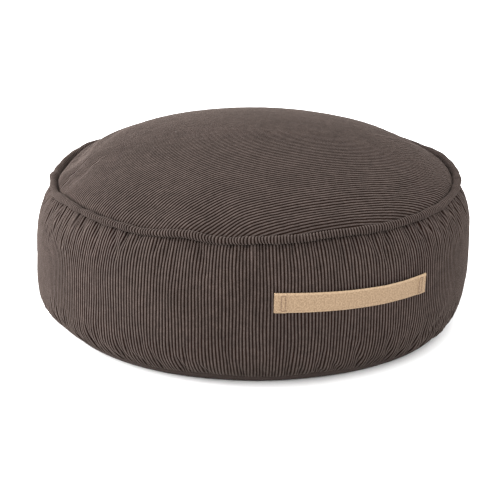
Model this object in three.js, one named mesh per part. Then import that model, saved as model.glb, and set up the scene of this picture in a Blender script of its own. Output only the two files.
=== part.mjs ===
// A round floor pouf: a domed top panel, a rolled welt in the top seam, a gathered side band that
// bellies out, a base panel and a webbing handle laid along the band. Millimetres, +Z up, the origin
// at the middle of the flat underside. Azimuths are degrees from the front (-Y) towards the right (+X).
// The filled form is divided at its two seams, so each cut panel is a solid of its own.

import * as THREE from 'three';
import { mergeVertices } from 'three/addons/utils/BufferGeometryUtils.js';

// Driving dimensions
const bellyRadius = 300;
const bellyHeight = 104;
const topSeamRadius = 273;
const topSeamHeight = 199.5;
const crownRise = 75; // from the top seam to the top of the dome
const baseSeamRadius = 266;
const baseSeamHeight = 8;
const restRadius = 255; // the flat part of the underside
const weltThickness = 11;
const webbingWidth = 25.5;
const webbingThickness = 2;
const webbingHem = 16; // each end is turned under by this much, so it is double there
const pieceGap = 0.3;
const handleGap = 0.5;

// How full the form is: a higher power keeps the wall upright for longer before it turns in
const upperBandPower = 3.9;
const lowerBandPower = 4.0;
const crownPower = 1.87;
const crownEdgePower = 0.67;

const roundSteps = 144;
const weltSides = 8;

// How far each level has settled to the right and to the back
const lean = [
  { level: 'base seam', height: baseSeamHeight, right: 4.5, back: 0 },
  { level: 'low wall', height: 44, right: -2.5, back: 0.4 },
  { level: 'belly', height: bellyHeight, right: 0, back: 0.6 },
  { level: 'top seam', height: topSeamHeight, right: 3, back: 3 },
  { level: 'crown', height: 250, right: -1, back: 3 },
];

// Where the two seams ride up (+) or dip (-) along their round; width in degrees, rise in millimetres
const topSeamWaves = [
  { azimuth: -63, width: 14, rise: 1.5 },
  { azimuth: -34, width: 8, rise: -1.8 },
  { azimuth: -20, width: 7, rise: 3.6 },
  { azimuth: -9, width: 6, rise: -1.8 },
  { azimuth: 22, width: 10, rise: 2.4 },
  { azimuth: 58, width: 13, rise: -1.2 },
  { azimuth: 104, width: 15, rise: 2.0 },
  { azimuth: 146, width: 12, rise: -1.6 },
  { azimuth: -150, width: 14, rise: 1.8 },
  { azimuth: -118, width: 10, rise: 2.2 },
  { azimuth: -98, width: 8, rise: -3.0 },
  { azimuth: -102, width: 24, rise: -5.5 },
  { azimuth: 102, width: 24, rise: -5.5 },
];
// Where the welt stands proud of its seam, at both sides towards the back
const weltLifts = [
  { azimuth: -104, width: 22, rise: 5.5 },
  { azimuth: 102, width: 24, rise: 5.5 },
];
const baseSeamWaves = [
  { azimuth: -62, width: 9, rise: -2.2 },
  { azimuth: -12, width: 9, rise: 3.0 },
  { azimuth: 17, width: 8, rise: 2.2 },
  { azimuth: 52, width: 12, rise: -1.6 },
  { azimuth: 96, width: 12, rise: 2.2 },
  { azimuth: 140, width: 11, rise: -1.2 },
  { azimuth: -140, width: 13, rise: 1.8 },
];

// The main gathers of the side band: a trough that starts at its seam and fades out along the wall.
// Azimuth and slant in degrees, the rest in millimetres; slant is how far it drifts round as it fades.
const topGathers = [
  { azimuth: -82, slant: 3, width: 14, depth: 5.1, reach: 30 },
  { azimuth: -68, slant: 4, width: 13, depth: 7.6, reach: 34 },
  { azimuth: -58, slant: 3, width: 12, depth: 6.0, reach: 24 },
  { azimuth: -45, slant: 2, width: 13, depth: 4.2, reach: 22 },
  { azimuth: -29, slant: 0, width: 12, depth: 3.4, reach: 20 },
  { azimuth: -3, slant: 0, width: 13, depth: 2.7, reach: 18 },
  { azimuth: 33, slant: -1, width: 13, depth: 3.4, reach: 18 },
  { azimuth: 50, slant: -3, width: 13, depth: 6.0, reach: 26 },
  { azimuth: 61, slant: -4, width: 12, depth: 7.6, reach: 32 },
  { azimuth: 73, slant: -4, width: 13, depth: 6.8, reach: 30 },
  { azimuth: 90, slant: -2, width: 14, depth: 4.4, reach: 26 },
  { azimuth: 112, slant: 2, width: 13, depth: 5.4, reach: 26 },
  { azimuth: 131, slant: -2, width: 14, depth: 4.4, reach: 22 },
  { azimuth: 153, slant: 2, width: 13, depth: 5.8, reach: 28 },
  { azimuth: 176, slant: -2, width: 14, depth: 4.1, reach: 22 },
  { azimuth: -162, slant: 2, width: 13, depth: 5.4, reach: 26 },
  { azimuth: -141, slant: -2, width: 14, depth: 4.4, reach: 24 },
  { azimuth: -121, slant: 2, width: 13, depth: 6.1, reach: 28 },
  { azimuth: -101, slant: 2, width: 13, depth: 4.8, reach: 26 },
];
const baseGathers = [
  { azimuth: -91, slant: 3, width: 13, depth: 7.8, reach: 42 },
  { azimuth: -70, slant: 4, width: 13, depth: 3.2, reach: 20 },
  { azimuth: -53, slant: 3, width: 13, depth: 4.2, reach: 22 },
  { azimuth: -38, slant: 2, width: 13, depth: 5.1, reach: 20 },
  { azimuth: -22, slant: 1, width: 13, depth: 3.7, reach: 16 },
  { azimuth: 4, slant: 0, width: 13, depth: 3.1, reach: 16 },
  { azimuth: 28, slant: 0, width: 14, depth: 3.4, reach: 18 },
  { azimuth: 43, slant: 2, width: 13, depth: 5.4, reach: 24 },
  { azimuth: 58, slant: 9, width: 13, depth: 8.5, reach: 44 },
  { azimuth: 78, slant: 4, width: 14, depth: 5.4, reach: 26 },
  { azimuth: 103, slant: -3, width: 14, depth: 6.1, reach: 26 },
  { azimuth: 127, slant: 3, width: 13, depth: 4.8, reach: 24 },
  { azimuth: 150, slant: -2, width: 14, depth: 5.8, reach: 26 },
  { azimuth: 173, slant: 2, width: 13, depth: 4.4, reach: 22 },
  { azimuth: -156, slant: -2, width: 14, depth: 5.8, reach: 26 },
  { azimuth: -131, slant: 3, width: 13, depth: 4.8, reach: 24 },
  { azimuth: -107, slant: -3, width: 14, depth: 5.4, reach: 24 },
];

// Long soft hollows in the dome, each following the welt: how far in it lies, along in degrees
const crownHollows = [
  { azimuth: -88, inset: 32, along: 26, across: 11, depth: 3.6 },
  { azimuth: -112, inset: 58, along: 20, across: 12, depth: 2.4 },
  { azimuth: -30, inset: 26, along: 16, across: 9, depth: 1.8 },
  { azimuth: 24, inset: 30, along: 18, across: 10, depth: 1.8 },
  { azimuth: 78, inset: 30, along: 22, across: 11, depth: 3.0 },
  { azimuth: 128, inset: 40, along: 22, across: 12, depth: 2.6 },
  { azimuth: -166, inset: 34, along: 24, across: 11, depth: 2.6 },
  { azimuth: -104, inset: 19, along: 24, across: 9, depth: 3.0 },
  { azimuth: 104, inset: 19, along: 24, across: 9, depth: 3.0 },
];

// The handle: where it starts and ends round the band, how high its middle lies and how far its upper
// edge stands off the band, which is slack between the two sewn ends
const handleStations = [
  { azimuth: 5.0, height: 123.4, standOff: 0.4 },
  { azimuth: 15.7, height: 121.2, standOff: 1.8 },
  { azimuth: 24.1, height: 119.5, standOff: 3.2 },
  { azimuth: 33.9, height: 117.8, standOff: 4.4 },
  { azimuth: 41.3, height: 117.4, standOff: 3.8 },
  { azimuth: 47.9, height: 117.4, standOff: 1.4 },
];
const handleSteps = 26;

// Levels of each turned piece, from its underside to its top
const weltReach = weltThickness / 2 + pieceGap;
const underWelt = [90, 70, 52, 36, 22, 10, 0].map(THREE.MathUtils.degToRad).map(
  (turn) => 1 - (weltReach * Math.sin(turn)) / (topSeamHeight - bellyHeight),
);
const bandLevels = [-1, -0.95, -0.86, -0.74, -0.56, -0.3, 0, 0.32, 0.56, 0.74, 0.86, ...underWelt];
const crownLevels = [1, 0.994, 0.98, 0.955, 0.92, 0.87, 0.79, 0.68, 0.54, 0.37, 0.18];
const baseLevels = [0, 0.4, 0.75, 1];

const toRadians = THREE.MathUtils.degToRad;
const lerp = THREE.MathUtils.lerp;

// A soft hump, 1 at no distance and fading over its width
const hump = (distance, width) => Math.exp(-((distance / width) ** 2));

// The shorter way round from one azimuth to another, in degrees
const turnBetween = (a, b) => ((a - b + 540) % 360) - 180;

function wander(waves, azimuth) {
  return waves.reduce((sum, w) => sum + w.rise * hump(turnBetween(azimuth, w.azimuth), w.width), 0);
}

const topSeamAt = (azimuth) => topSeamHeight + wander(topSeamWaves, azimuth);
const baseSeamAt = (azimuth) => baseSeamHeight + wander(baseSeamWaves, azimuth);
const weltAt = (azimuth) => topSeamAt(azimuth) + wander(weltLifts, azimuth);

// The middle of the form at a height, between the rows of the lean table
function centreAt(height) {
  const next = lean.findIndex((row) => row.height > height);
  const high = lean.at(next); // the last row serves all that is above it
  const low = next > 0 ? lean[next - 1] : high;
  const share = THREE.MathUtils.smoothstep(height, low.height, high.height);
  return { x: lerp(low.right, high.right, share), y: lerp(low.back, high.back, share) };
}

// A point at a radius and height, round from the front by the azimuth
function roundPoint(azimuth, radius, height, target) {
  const centre = centreAt(height);
  const angle = toRadians(azimuth);
  return target.set(centre.x + radius * Math.sin(angle), centre.y - radius * Math.cos(angle), height);
}

// How deep the gathers of one seam are at a distance from that seam; nothing at the seam itself
function gatherDepth(gathers, azimuth, fromSeam) {
  const fade = 1 - hump(fromSeam, 9);
  return gathers.reduce((sum, g) => {
    const middle = g.azimuth + g.slant * (fromSeam / g.reach);
    const across = toRadians(turnBetween(azimuth, middle)) * bellyRadius;
    return sum + g.depth * hump(across, g.width) * Math.exp(-fromSeam / g.reach) * fade;
  }, 0);
}

// The side band's wall at a level: -1 is the base seam, 0 the belly and 1 the top seam
function bandRadius(azimuth, level) {
  const upper = level > 0;
  const seamRadius = upper ? topSeamRadius : baseSeamRadius;
  const power = upper ? upperBandPower : lowerBandPower;
  const full = seamRadius + (bellyRadius - seamRadius) * (1 - Math.abs(level) ** power);
  const wall = bellyHeight * (1 - Math.abs(level));
  const soft = 1.2 * Math.sin(toRadians(2 * azimuth + 40)) + 0.9 * Math.sin(toRadians(3 * azimuth - 70));
  return full + soft * (1 - level * level) - gatherDepth(upper ? topGathers : baseGathers, azimuth, wall);
}

function bandHeight(azimuth, level) {
  return level > 0
    ? lerp(bellyHeight, topSeamAt(azimuth), level)
    : lerp(bellyHeight, baseSeamAt(azimuth), -level);
}

// Where the welt's own round leaves no room, the cloth tucks in behind it
function tuckedRadius(azimuth, radius, height) {
  const drop = weltAt(azimuth) - height;
  if (Math.abs(drop) >= weltReach) return radius;
  const room = topSeamRadius + weltThickness / 2 - Math.sqrt(weltReach * weltReach - drop * drop);
  return Math.min(radius, room);
}

// A closed solid of the levels, turned round the upright axis. Each point comes from pointAt.
function turned(levels, pointAt) {
  const geometry = new THREE.LatheGeometry(levels.map((_, j) => new THREE.Vector2(1, j)), roundSteps);
  const point = new THREE.Vector3();
  for (let i = 0; i <= roundSteps; i += 1) {
    const azimuth = ((i % roundSteps) * 360) / roundSteps;
    levels.forEach((level, j) => {
      pointAt(azimuth, level, point);
      geometry.attributes.position.setXYZ(i * levels.length + j, point.x, point.y, point.z);
    });
  }
  return welded(geometry);
}

function welded(geometry) {
  geometry.deleteAttribute('normal');
  geometry.deleteAttribute('uv');
  const merged = mergeVertices(geometry, 1e-4);
  merged.computeVertexNormals();
  return merged;
}

// The level of a pole, where the last ring closes on the middle
const pole = 'pole';
const poleAt = (height, target) => roundPoint(0, 0, height, target);

function topPanel() {
  return turned([pole, ...crownLevels, 'top'], (azimuth, level, target) => {
    if (level === pole) return poleAt(topSeamHeight + pieceGap / 2, target);
    if (level === 'top') return poleAt(topSeamHeight + crownRise, target);
    const radius = topSeamRadius * level;
    const inset = topSeamRadius - radius;
    const rise = crownRise * (1 - level ** crownPower) ** crownEdgePower;
    const hollow = crownHollows.reduce((sum, h) => sum + h.depth
      * hump(turnBetween(azimuth, h.azimuth), h.along) * hump(inset - h.inset, h.across), 0);
    const seam = topSeamHeight + wander(topSeamWaves, azimuth) * level ** 6;
    const height = seam + pieceGap / 2 + rise - hollow;
    return roundPoint(azimuth, tuckedRadius(azimuth, radius, height), height, target);
  });
}

function sideBand() {
  return turned([pole, ...bandLevels, 'top'], (azimuth, level, target) => {
    if (level === pole) return poleAt(baseSeamHeight + pieceGap / 2, target);
    if (level === 'top') return poleAt(topSeamHeight - pieceGap / 2, target);
    const rim = Math.trunc(level); // 1 or -1 at the two seams, 0 between them
    const height = bandHeight(azimuth, level) - (rim * pieceGap) / 2;
    return roundPoint(azimuth, tuckedRadius(azimuth, bandRadius(azimuth, level), height), height, target);
  });
}

// The base panel turns up from its flat underside to the base seam, a quarter of an oval in section
function basePanel() {
  return turned([pole, ...baseLevels, 'top'], (azimuth, level, target) => {
    if (level === pole) return poleAt(0, target);
    if (level === 'top') return poleAt(baseSeamHeight - pieceGap / 2, target);
    const quarter = (level * Math.PI) / 2;
    const radius = lerp(restRadius, baseSeamRadius, Math.sin(quarter));
    const height = (baseSeamAt(azimuth) - pieceGap / 2) * (1 - Math.cos(quarter));
    return roundPoint(azimuth, radius, height, target);
  });
}

// A round roll. Where it stands proud of its seam, a lip runs from it inwards and down to the seam.
function topWelt() {
  const turns = Array.from({ length: weltSides + 1 }, (_, j) => ((j % weltSides) * 2 * Math.PI) / weltSides);
  const lipTurn = (7 * Math.PI) / 4;
  return turned(turns, (azimuth, turn, target) => {
    const half = weltThickness / 2;
    const middle = weltAt(azimuth);
    const lift = wander(weltLifts, azimuth);
    const toSeam = Math.min(Math.hypot(half, lift), lift * Math.SQRT2) - half - pieceGap;
    const reach = half + Math.max(0, toSeam) * Math.max(0, Math.cos(turn - lipTurn)) ** 8;
    roundPoint(azimuth, topSeamRadius + half + reach * Math.sin(turn), middle, target);
    target.z = middle - reach * Math.cos(turn);
    return target;
  });
}

// A named column of the handle's table at an azimuth, running straight between its rows
function handleValue(column, azimuth) {
  const next = Math.max(1, handleStations.findIndex((s) => s.azimuth >= azimuth));
  const [a, b] = [handleStations[next - 1], handleStations[next]];
  return lerp(a[column], b[column], (azimuth - a.azimuth) / (b.azimuth - a.azimuth));
}

// A flat strip bent round the band. Its lower edge lies against the wall and its upper edge stands off.
function handle() {
  const start = handleStations[0].azimuth;
  const end = handleStations[handleStations.length - 1].azimuth;
  const length = toRadians(end - start) * bellyRadius;
  const strip = new THREE.BoxGeometry(length, webbingWidth, 1, handleSteps, 2, 1);
  const point = new THREE.Vector3();
  for (let i = 0; i < strip.attributes.position.count; i += 1) {
    point.fromBufferAttribute(strip.attributes.position, i);
    const along = point.x + length / 2;
    const azimuth = lerp(start, end, along / length);
    const middle = handleValue('height', azimuth);
    const across = point.y / webbingWidth + 0.5;
    const height = middle + point.y;
    const level = (height - bellyHeight) / (height > bellyHeight
      ? topSeamAt(azimuth) - bellyHeight : bellyHeight - baseSeamAt(azimuth));
    const layers = Math.min(along, length - along) < webbingHem ? 1.8 : 1;
    const inner = bandRadius(azimuth, level) + handleGap + handleValue('standOff', azimuth) * across;
    const outer = point.z > 0 ? webbingThickness * layers : 0;
    roundPoint(azimuth, inner + outer, height, point);
    strip.attributes.position.setXYZ(i, point.x, point.y, point.z);
  }
  return welded(strip);
}

const corduroy = { color: 0x584b45, roughness: 0.92, metalness: 0 };
const pieces = [
  { name: 'base_panel', geometry: basePanel(), color: 0x4b4039, roughness: 0.9, metalness: 0 },
  { name: 'side_band', geometry: sideBand(), ...corduroy },
  { name: 'top_welt', geometry: topWelt(), ...corduroy },
  { name: 'top_panel', geometry: topPanel(), ...corduroy },
  { name: 'handle', geometry: handle(), color: 0xc3a682, roughness: 0.85, metalness: 0 },
];

const pouf = new THREE.Group();
for (const { name, geometry, ...finish } of pieces) {
  const mesh = new THREE.Mesh(geometry, new THREE.MeshStandardMaterial(finish));
  mesh.name = name;
  pouf.add(mesh);
}

export default pouf;
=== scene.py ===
"""Dresses a round corduroy pouf: its wales, welt, gathers, base cloth and webbing handle.

Everything is in metres, +Z up, with the front towards -Y. Azimuths are degrees from the front
towards the right (+X). The filled form has the sizes of the frame; its cloth is blown up from inside
by a cloth simulation, and the wales are then laid on it as real ridges.
"""

import bpy
import numpy as np
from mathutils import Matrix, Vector


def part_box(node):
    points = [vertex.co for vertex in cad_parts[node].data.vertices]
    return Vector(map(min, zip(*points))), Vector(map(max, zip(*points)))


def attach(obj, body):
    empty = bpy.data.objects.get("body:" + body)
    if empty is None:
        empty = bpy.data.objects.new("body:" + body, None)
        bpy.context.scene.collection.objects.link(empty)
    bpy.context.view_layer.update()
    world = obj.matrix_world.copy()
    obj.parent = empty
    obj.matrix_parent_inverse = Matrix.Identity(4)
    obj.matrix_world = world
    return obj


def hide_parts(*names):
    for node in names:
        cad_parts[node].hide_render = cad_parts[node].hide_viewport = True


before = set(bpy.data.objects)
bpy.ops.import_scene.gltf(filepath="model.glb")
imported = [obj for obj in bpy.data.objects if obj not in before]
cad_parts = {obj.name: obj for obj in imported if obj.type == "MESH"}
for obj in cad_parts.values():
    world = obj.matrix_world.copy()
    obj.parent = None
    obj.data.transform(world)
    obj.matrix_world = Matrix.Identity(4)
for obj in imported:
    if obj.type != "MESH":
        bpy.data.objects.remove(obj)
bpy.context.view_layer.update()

MM = 0.001

# Sizes of the filled form, which are those of the frame
TOP_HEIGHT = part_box("top_panel")[1].z
BELLY_RADIUS = 300 * MM
BELLY_HEIGHT = 104 * MM
TOP_SEAM_RADIUS = 273 * MM
TOP_SEAM_HEIGHT = 199.5 * MM
CROWN_RISE = TOP_HEIGHT - TOP_SEAM_HEIGHT
BASE_SEAM_RADIUS = 266 * MM
BASE_SEAM_HEIGHT = 8 * MM
REST_RADIUS = 255 * MM
WELT_RADIUS = 5.5 * MM
PIECE_GAP = 0.3 * MM
UPPER_BAND_POWER = 3.9
LOWER_BAND_POWER = 4.0
CROWN_POWER = 1.87
CROWN_EDGE_POWER = 0.67
CROWN_WAVE_POWER = 6  # how fast the seam's waves die out from the rim to the middle
BELLY_SWELLS = ((2, 40, 1.2), (3, -70, 0.9))  # how many go round, where they start, and millimetres

# Corduroy
WALES_ROUND = 424
WALE_PITCH = 4.5 * MM
WALE_HEIGHT = 1.7 * MM
WALE_SEAT = 0.55  # the share of a wale's height that is below the cloth's middle
BAND_COLUMNS = np.array([0, 0.12, 0.3, 0.5, 0.7, 0.88])  # shares of a wale
BAND_COUNT = (np.arange(WALES_ROUND)[:, None] + BAND_COLUMNS).ravel()  # wales up to each column
CROWN_COLUMNS = np.array([0, 0.1, 0.22, 0.36, 0.5, 0.64, 0.78, 0.9])
BAND_ROWS = 38
BAND_CROWDING = 0.38  # the share of the rows' spacing that draws them to the seams
BAND_FADE = (0.03, 0.75)  # how far from a seam the wales are pressed flat, as a share, and how much
CROWN_ROWS = 76
CROWN_CROWDING = 0.25
CROWN_FADE = (0.02, 0.8)
CROWN_EDGE = 0.0006  # the share of the flat cloth left off beyond the first and last wale
CROWN_STEP = (0.3, 0.003)  # the step round and outwards that normals are taken over
CROWN_STEP_SHARES = (0.004, 0.994)  # the least and the most share of the seam's radius to do it at
WELT_SIDES = 14
CROWN_TURN = np.radians(20.5)  # the way the top's wales run, from +X towards the back
LEFT_SLOPE = 0.20  # how much more they turn on the left, as rise over run
RIGHT_SLOPE = 0.12
LEFT_TURN = (-125 * MM, -85 * MM)  # from the middle along the wales, where each turn happens
RIGHT_TURN = (-10 * MM, 30 * MM)
TURN_REACH = 320 * MM  # how far out the turns are worked out
PLAN_POINTS = 1500  # on each line that is worked out numerically
BEND_POINTS = 1281
END_POINTS = 1601
RIM_POINTS = 1441

# Ripples, the unevenness of real cloth: how much (in wales, shares or millimetres), the seed, whole turns
# round the form from and to, and wavelengths along it in millimetres
BAND_DRIFT = (0.15, 21, (2, 40), (60, 400))
BAND_DRIFT_POWER = 6  # how close to the seams it dies out
BAND_WEAR = (0.12, 22, (20, 90), (18, 60))
CROWN_DRIFT = (0.5, 31, (1, 3), (90, 400))
CROWN_DRIFT_POWER = 4
CROWN_WEAR = (0.12, 32, (20, 90), (18, 60))
WELT_DRIFT = (0.14, 41, (5, 60), (40, 200))
WELT_PLUMPNESS = (0.07, 42, (10, 60), (40, 200))
WELT_SWAY = (0.5, 43, (12, 40), (40, 200))
RIPPLE_WAVES = 9
CROWN_DRIFT_TURN = 500  # degrees of its ripple for each metre across the top's wales
WELT_DRIFT_REACH = 20 * MM  # how far its ripple runs as it goes over the roll


def table(names, *rows):
    """A short table as arrays, one for each named column."""
    return dict(zip(names.split(), np.array(rows, float).T))


# How far each level has settled to the right and to the back, in millimetres
LEAN = table(
    "height right back",
    (8, 4.5, 0), (44, -2.5, 0.4), (104, 0, 0.6), (199.5, 3, 3), (250, -1, 3))

# Where the seams ride up or dip: azimuth and width in degrees, rise in millimetres. The last wave of the
# top seam, a corner at the left, is only in the cover
TOP_SEAM_WAVES = table(
    "azimuth width rise",
    (-63, 14, 1.5), (-34, 8, -1.8), (-20, 7, 3.6), (-9, 6, -1.8), (22, 10, 2.4), (58, 13, -1.2),
    (104, 15, 2.0), (146, 12, -1.6), (-150, 14, 1.8), (-118, 10, 2.2), (-98, 8, -3.0), (-102, 24, -5.5),
    (102, 24, -5.5), (-77, 6, -5.0))
WELT_LIFTS = table("azimuth width rise", (-104, 22, 5.5), (102, 24, 5.5))
BASE_SEAM_WAVES = table(
    "azimuth width rise",
    (-62, 9, -2.2), (-12, 9, 3.0), (17, 8, 2.2), (52, 12, -1.6), (96, 12, 2.2), (140, 11, -1.2),
    (-140, 13, 1.8))

# The main gathers of the side band, each a trough that starts at its seam: azimuth and slant in
# degrees, the rest in millimetres; slant is how far the trough drifts round as it fades
TOP_GATHERS = table(
    "azimuth slant width depth reach",
    (-82, 3, 14, 5.1, 30), (-68, 4, 13, 7.6, 34), (-58, 3, 12, 6.0, 24), (-45, 2, 13, 4.2, 22),
    (-29, 0, 12, 3.4, 20), (-3, 0, 13, 2.7, 18), (33, -1, 13, 3.4, 18), (50, -3, 13, 6.0, 26),
    (61, -4, 12, 7.6, 32), (73, -4, 13, 6.8, 30), (90, -2, 14, 4.4, 26), (112, 2, 13, 5.4, 26),
    (131, -2, 14, 4.4, 22), (153, 2, 13, 5.8, 28), (176, -2, 14, 4.1, 22), (-162, 2, 13, 5.4, 26),
    (-141, -2, 14, 4.4, 24), (-121, 2, 13, 6.1, 28), (-101, 2, 13, 4.8, 26))
BASE_GATHERS = table(
    "azimuth slant width depth reach",
    (-91, 3, 13, 7.8, 42), (-70, 4, 13, 3.2, 20), (-53, 3, 13, 4.2, 22), (-38, 2, 13, 5.1, 20),
    (-22, 1, 13, 3.7, 16), (4, 0, 13, 3.1, 16), (28, 0, 14, 3.4, 18), (43, 2, 13, 5.4, 24),
    (58, 9, 13, 8.5, 44), (78, 4, 14, 5.4, 26), (103, -3, 14, 6.1, 26), (127, 3, 13, 4.8, 24),
    (150, -2, 14, 5.8, 26), (173, 2, 13, 4.4, 22), (-156, -2, 14, 5.8, 26), (-131, 3, 13, 4.8, 24),
    (-107, -3, 14, 5.4, 24))
GATHER_START = 9 * MM  # how far from its seam a gather has opened

# Long soft hollows in the dome, each following the welt: azimuth and along in degrees, inset, across and
# depth in millimetres, slant as a share
CROWN_HOLLOWS = table(
    "azimuth inset along across depth slant",
    (-88, 32, 26, 11, 3.6, 0), (-112, 58, 20, 12, 2.4, 0), (-30, 26, 16, 9, 1.8, 0),
    (24, 30, 18, 10, 1.8, 0), (78, 30, 22, 11, 3.0, 0), (128, 40, 22, 12, 2.6, 0),
    (-166, 34, 24, 11, 2.6, 0), (-104, 19, 24, 9, 3.0, 0), (104, 19, 24, 9, 3.0, 0))


# Shapes of the filled form, as functions of azimuth and level

def hump(distance, width):
    """A soft hump: e to the minus square of distance over width."""
    return np.exp(-((distance / width) ** 2))


def turn_between(a, b):
    """The shorter way round from b to a, in degrees."""
    return (a - b + 180) % 360 - 180


def smooth_step(value, low, high):
    """0 below low, 1 above high, and 3t^2 - 2t^3 between them."""
    t = np.clip((value - low) / (high - low), 0, 1)
    return t * t * (3 - 2 * t)


def wander(waves, azimuth):
    """The sum of a table's humps at an azimuth, in metres."""
    across = turn_between(np.asarray(azimuth)[..., None], waves["azimuth"])
    return hump(across, waves["width"]) @ waves["rise"] * MM


def top_seam(azimuth):
    """Height of the top seam round its run."""
    return TOP_SEAM_HEIGHT + wander(TOP_SEAM_WAVES, azimuth)


def welt_height(azimuth):
    """Height of the welt's middle: the top seam's height, and what it stands proud of it at both sides."""
    return top_seam(azimuth) + wander(WELT_LIFTS, azimuth)


def base_seam(azimuth):
    """Height of the base seam round its run."""
    return BASE_SEAM_HEIGHT + wander(BASE_SEAM_WAVES, azimuth)


def centre_at(height):
    """The middle of the form at a height: each row of LEAN hands over to the next in a smooth step."""
    x, y = LEAN["right"][0], LEAN["back"][0]
    for i in range(1, len(LEAN["height"])):
        share = smooth_step(height, LEAN["height"][i - 1] * MM, LEAN["height"][i] * MM)
        x = x + share * (LEAN["right"][i] - LEAN["right"][i - 1])
        y = y + share * (LEAN["back"][i] - LEAN["back"][i - 1])
    return x * MM, y * MM


def ring_points(azimuth, radius, height):
    """Points at a radius and height round the upright axis: (sin, -cos) of the azimuth."""
    angle = np.radians(azimuth)
    return np.stack(np.broadcast_arrays(radius * np.sin(angle), -radius * np.cos(angle), height), -1)


def round_points(azimuth, radius, height):
    """The same, round the middle of the form at that height."""
    points = ring_points(azimuth, radius, height)
    x, y = centre_at(height)
    points[..., 0] += x
    points[..., 1] += y
    return points


def gather_depth(gathers, azimuth, from_seam):
    """Troughs that fade with distance from their seam: hump across, exponential along, none at the seam."""
    away = from_seam[..., None]
    middle = gathers["azimuth"] + gathers["slant"] * (away / (gathers["reach"] * MM))
    across = np.radians(turn_between(azimuth[..., None], middle)) * BELLY_RADIUS
    fade = 1 - hump(from_seam, GATHER_START)
    depth = hump(across, gathers["width"] * MM) * np.exp(-away / (gathers["reach"] * MM))
    return depth @ gathers["depth"] * MM * fade


def wall_radius(azimuth, level):
    """Seam radius + (belly - seam)(1 - |level|^power), with two slow waves round it, less the gathers.

    Level -1 is the base seam, 0 the belly and 1 the top seam.
    """
    upper = level > 0
    far = np.abs(level)
    seam = np.where(upper, TOP_SEAM_RADIUS, BASE_SEAM_RADIUS)
    full = seam + (BELLY_RADIUS - seam) * (1 - far ** np.where(upper, UPPER_BAND_POWER, LOWER_BAND_POWER))
    slow = sum(size * np.sin(np.radians(count * azimuth + start)) for count, start, size in BELLY_SWELLS)
    from_seam = BELLY_HEIGHT * (1 - far)
    gathers = np.where(upper, gather_depth(TOP_GATHERS, azimuth, from_seam),
                       gather_depth(BASE_GATHERS, azimuth, from_seam))
    return full + slow * MM * (1 - level * level) - gathers


def wall_height(azimuth, level):
    """From the belly straight to the seam that the level points to, less half the gap at the seams."""
    seam = np.where(level > 0, top_seam(azimuth), base_seam(azimuth))
    return BELLY_HEIGHT + (seam - BELLY_HEIGHT) * np.abs(level) - np.trunc(level) * PIECE_GAP / 2


def tucked(azimuth, radius, height, spare=0.0):
    """The radius, drawn in where the welt leaves no room: its middle less half a chord of its circle."""
    reach = WELT_RADIUS + PIECE_GAP + spare
    drop = np.clip(np.abs(welt_height(azimuth) - height), 0, reach)
    room = TOP_SEAM_RADIUS + WELT_RADIUS - np.sqrt(reach ** 2 - drop ** 2)
    return np.where(drop < reach, np.minimum(radius, room), radius)


def rim_hollows(hollows, azimuth, share):
    """Depth of hollows that follow the welt: a hump along it times a hump across, which may slant."""
    around = turn_between(azimuth[..., None], hollows["azimuth"])
    inset = TOP_SEAM_RADIUS * (1 - share)[..., None] - hollows["inset"] * MM
    inset = inset + np.radians(around) * TOP_SEAM_RADIUS * hollows["slant"]
    return hump(around, hollows["along"]) * hump(inset, hollows["across"] * MM) @ hollows["depth"] * MM


def crown_height(azimuth, share):
    """The dome over the top seam: rise times (1 - share^power)^edge power, less the hollows.

    Share is the distance from the middle over the seam's radius.
    """
    rise = CROWN_RISE * np.clip(1 - share ** CROWN_POWER, 0, 1) ** CROWN_EDGE_POWER
    seam = TOP_SEAM_HEIGHT + wander(TOP_SEAM_WAVES, azimuth) * share ** CROWN_WAVE_POWER
    return seam + PIECE_GAP / 2 + rise - rim_hollows(CROWN_HOLLOWS, azimuth, share)


# Irregularity of real cloth

def ripple(azimuth, along, amount, seed, turns, lengths):
    """An amount times a sum of sines, each with whole turns round the form and a wavelength along it."""
    draw = np.random.default_rng(seed)
    total = np.zeros(np.broadcast(azimuth, along).shape)
    for _ in range(RIPPLE_WAVES):
        around = draw.integers(turns[0], turns[1] + 1) * draw.choice([-1, 1])
        length = draw.uniform(*lengths) * MM
        phase = draw.uniform(0, 2 * np.pi)
        total += np.sin(np.radians(azimuth) * around + 2 * np.pi * along / length + phase)
    return amount * (total / np.sqrt(RIPPLE_WAVES))


def wale_profile(share):
    """Section of one wale: 1 - |2 share - 1|^3, a round top with a narrow groove at share 0."""
    return 1 - np.abs(2 * share - 1) ** 3


# Meshes

def add_object(name, data):
    """A new object in the scene."""
    made = bpy.data.objects.new(name, data)
    bpy.context.scene.collection.objects.link(made)
    return made


def quads(rows, columns, closed):
    """Corner numbers of a grid's faces, row by row, where closed joins the last column to the first."""
    across = np.arange(columns if closed else columns - 1)
    row = np.arange(rows - 1)[:, None] * columns
    a = row + across
    b = row + (across + 1) % columns
    return np.stack([a, b, b + columns, a + columns], -1).reshape(-1, 4)


def paired(a, b):
    """Two values for each point of a grid."""
    return np.stack(np.broadcast_arrays(a, b), -1)


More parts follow.
